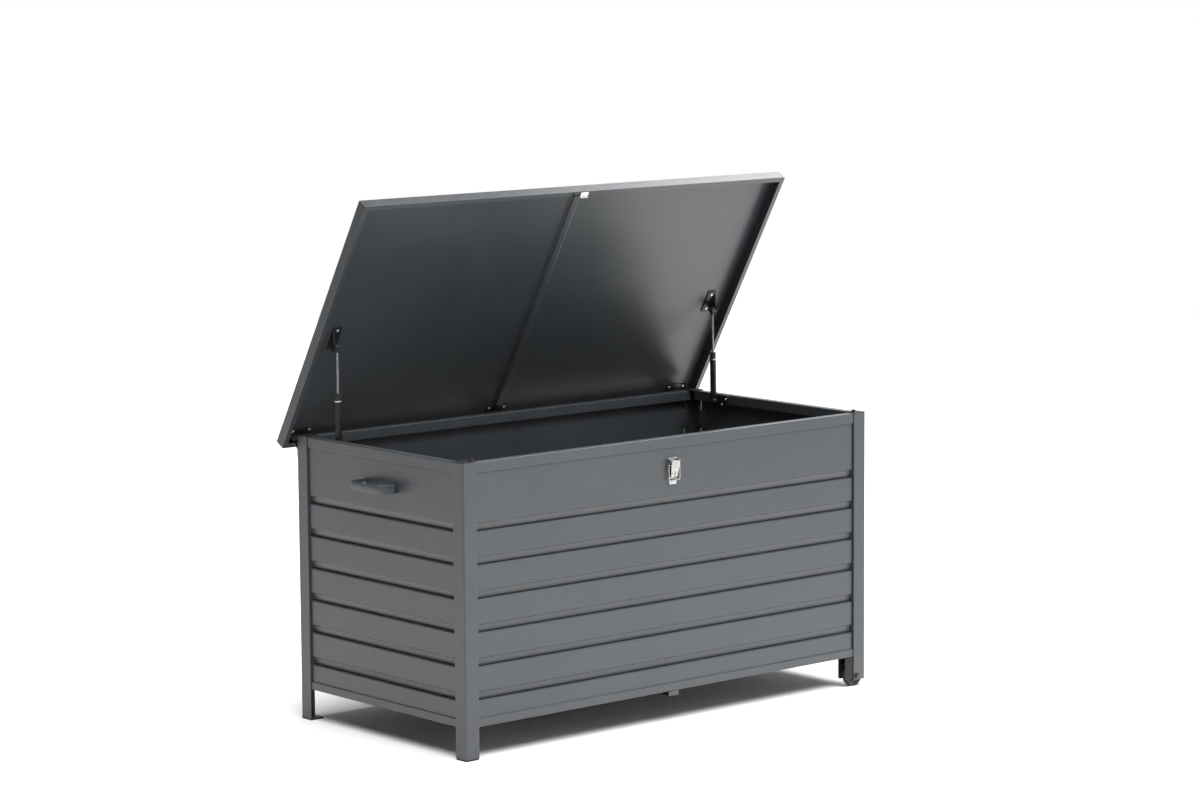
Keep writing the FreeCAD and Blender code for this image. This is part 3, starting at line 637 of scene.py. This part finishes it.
def makeLever(look):
    wide, sheet = look["halfWidth"], look["sheet"]
    top, foot = look["overPin"], -look["underPin"]
    tip = foot + look["tipHeight"]
    outer = -look["outFromPin"]
    cheek = wide - sheet
    readyToModel()
    bpy.ops.mesh.primitive_cube_add(size=1, location=(0, outer + sheet / 2, (top + foot) / 2))
    lever = bpy.context.object
    lever.scale = (2 * wide, sheet, top - foot)
    shaping(lever)
    for height in (-look["cheekFoot"], top - look["straight"], tip):
        bpy.ops.mesh.select_all(action="SELECT")
        bpy.ops.mesh.bisect(plane_co=(0, 0, height), plane_no=(0, 0, 1))
    for across in (-cheek, cheek):
        bpy.ops.mesh.select_all(action="SELECT")
        bpy.ops.mesh.bisect(plane_co=(across, 0, 0), plane_no=(1, 0, 0))

    # cheeks, folded back either side of the pin
    pickFaces(lever, lambda spot, normal: (
        normal.y > facing and abs(spot.x) > cheek and spot.z > -look["cheekFoot"]
    ))
    bpy.ops.mesh.extrude_region_move(TRANSFORM_OT_translate={"value": (0, look["cheekDepth"], 0)})

    # rolled tip
    pickFaces(lever, lambda spot, normal: normal.z < -facing and spot.z < foot + hair)
    for step in look["roll"]:
        bpy.ops.mesh.extrude_region_move(TRANSFORM_OT_translate={"value": step})

    # taper below the straight part
    pick(lever, "VERT", lambda vertex: vertex.co.z < tip + hair)
    taper = look["tipHalfWidth"] / wide
    bpy.ops.transform.resize(value=(taper, 1, 1), center_override=(0, 0, foot))

    # pressed panel on the face
    pickFaces(lever, lambda spot, normal: (
        normal.y < -facing and abs(spot.x) < cheek and tip < spot.z < top
    ))
    bpy.ops.mesh.inset(thickness=look["panelInset"], depth=0)
    bpy.ops.mesh.inset(thickness=look["panelStep"], depth=-look["panelDepth"])
    bpy.ops.object.mode_set(mode="OBJECT")

    # holes for the pin and the bail, and the slot
    for height in (0.0, -look["bailDrop"]):
        readyToModel()
        bpy.ops.mesh.primitive_cylinder_add(
            vertices=look["holeSides"], radius=look["hole"], depth=look["drill"],
            location=(0, 0, height), rotation=(0, math.pi / 2, 0),
        )
        cutAway(lever, bpy.context.object)
    halfWide, halfTall = look["slot"]
    readyToModel()
    bpy.ops.mesh.primitive_cube_add(size=1, location=(0, outer, foot + look["slotFoot"] + halfTall))
    slot = bpy.context.object
    slot.scale = (2 * halfWide, look["slotDrill"], 2 * halfTall)
    roundEdges(slot, look["slotRound"], 3)
    cutAway(lever, slot)
    roundEdges(lever, look["edge"], 2, look["edgeAngle"])
    lean = Matrix.Rotation(math.radians(look["lean"]), 4, "X")
    lever.matrix_world = Matrix.Translation(placeOf("latch_pin")[0]) @ lean
    return lever


fitPiece(makeLever(leverLook), "pressedLatchLever", "latch_lever", leverLook["smooth"])
print("stage: latch lever")


# floor, light and camera

stageLook = {
    "size": 14.0, "dark": (0.86, 0.86, 0.86), "light": (0.88, 0.88, 0.88),
    "noiseScale": 4.0, "noise": (3.0, 0.5), "roughness": 0.9, "specular": 0.1,
}

bpy.ops.object.select_all(action="DESELECT")
bpy.ops.mesh.primitive_plane_add(size=stageLook["size"], location=(0, 0, 0))
floor = bpy.context.object
floor.name = "studioFloor"
floorMaterial, floorTree, floorShader, floorPlace = startFinish("paleFloor")
floorNoise = addNoise(floorTree, floorPlace, stageLook["noiseScale"], *stageLook["noise"])
floorTint = mixColours(floorTree, floorNoise, stageLook["dark"], stageLook["light"])
feed(floorTree, floorShader["Base Color"], floorTint)
feed(floorTree, floorShader["Roughness"], stageLook["roughness"])
feed(floorTree, floorShader["Specular IOR Level"], stageLook["specular"])
floor.data.materials.append(floorMaterial)

lightLook = {
    "sky": (0.95, 0.97, 1.0), "acrossSpan": (-0.5, 0.6, 0.15, 1.15), "riseSpan": (0.1, 0.6, 1.0, 0.35),
    "backdrop": (1.0, 1.0, 1.0),
    "keySoftbox": {"place": (-1.6, -2.4, 3.8), "aim": (0.1, 0.0, 0.4), "size": 2.2, "watts": 34.0},
    "rightSoftbox": {"place": (2.1, 0.1, 3.0), "aim": (1.7, 0.0, 0.0), "size": 1.2, "watts": 62.0},
    "frontSoftbox": {"place": (1.0, -1.9, 3.2), "aim": (1.1, -1.7, 0.0), "size": 2.4, "watts": 76.0},
    "topLight": {"turn": (16.0, -6.0, 0.0), "spread": 56.0, "strength": 4.3},
}


def inScene(name, data):
    thing = bpy.data.objects.new(name, data)
    bpy.context.scene.collection.objects.link(thing)
    return thing


def makeSky(look):
    # dimmer to the left and overhead, brighter towards the right horizon, and plain behind the object
    world = bpy.data.worlds.new("studioSky")
    bpy.context.scene.world = world
    world.use_nodes = True
    sky = world.node_tree
    sky.nodes.clear()
    place = addNode(sky, "ShaderNodeTexCoord")
    direction = addNode(sky, "ShaderNodeSeparateXYZ", {0: place.outputs["Generated"]}).outputs
    level = remap(sky, direction["X"], *look["acrossSpan"])
    share = remap(sky, direction["Z"], *look["riseSpan"])
    strength = doMath(sky, "MULTIPLY", level, share)
    glow = addNode(sky, "ShaderNodeBackground", {"Color": (*look["sky"], 1.0), "Strength": strength})
    backdrop = addNode(sky, "ShaderNodeBackground", {"Color": (*look["backdrop"], 1.0)})
    seen = addNode(sky, "ShaderNodeLightPath").outputs["Is Camera Ray"]
    choose = addNode(sky, "ShaderNodeMixShader", {0: seen, 1: glow.outputs[0], 2: backdrop.outputs[0]})
    addNode(sky, "ShaderNodeOutputWorld", {"Surface": choose.outputs[0]})


def addSoftbox(name, look):
    light = bpy.data.lights.new(name, "AREA")
    light.shape = "SQUARE"
    light.size = look["size"]
    light.energy = look["watts"]
    lamp = inScene(name, light)
    lamp.location = look["place"]
    aim = Vector(look["aim"]) - Vector(look["place"])
    lamp.rotation_euler = aim.to_track_quat("-Z", "Y").to_euler()


def addTopLight(name, look):
    light = bpy.data.lights.new(name, "SUN")
    light.energy = look["strength"]
    light.angle = math.radians(look["spread"])
    inScene(name, light).rotation_euler = [math.radians(turn) for turn in look["turn"]]


makeSky(lightLook)
for name in ("keySoftbox", "rightSoftbox", "frontSoftbox"):
    addSoftbox(name, lightLook[name])
addTopLight("topLight", lightLook["topLight"])

cameraLook = {
    "place": (-5.3952, -6.3724, 1.7967), "azimuth": -40.54, "elevation": 7.47, "roll": -0.41,
    "lens": 110.13, "sensor": 36.0, "reach": 100.0,
}


def addCamera(look):
    azimuth, elevation, roll = [math.radians(look[key]) for key in ("azimuth", "elevation", "roll")]
    backwards = Vector((
        math.sin(azimuth) * math.cos(elevation),
        -math.cos(azimuth) * math.cos(elevation),
        math.sin(elevation),
    ))
    right = Vector((math.cos(azimuth), math.sin(azimuth), 0.0))
    upwards = backwards.cross(right)
    across = right * math.cos(roll) + upwards * math.sin(roll)
    along = upwards * math.cos(roll) - right * math.sin(roll)
    lens = bpy.data.cameras.new("studioCamera")
    lens.lens = look["lens"]
    lens.sensor_width = look["sensor"]
    lens.clip_end = look["reach"]
    camera = inScene("studioCamera", lens)
    turn = Matrix((across, along, backwards)).transposed().to_4x4()
    camera.matrix_world = Matrix.Translation(look["place"]) @ turn
    bpy.context.scene.camera = camera


addCamera(cameraLook)
bpy.context.scene.view_settings.view_transform = "Standard"
print("stage: floor, light and camera")
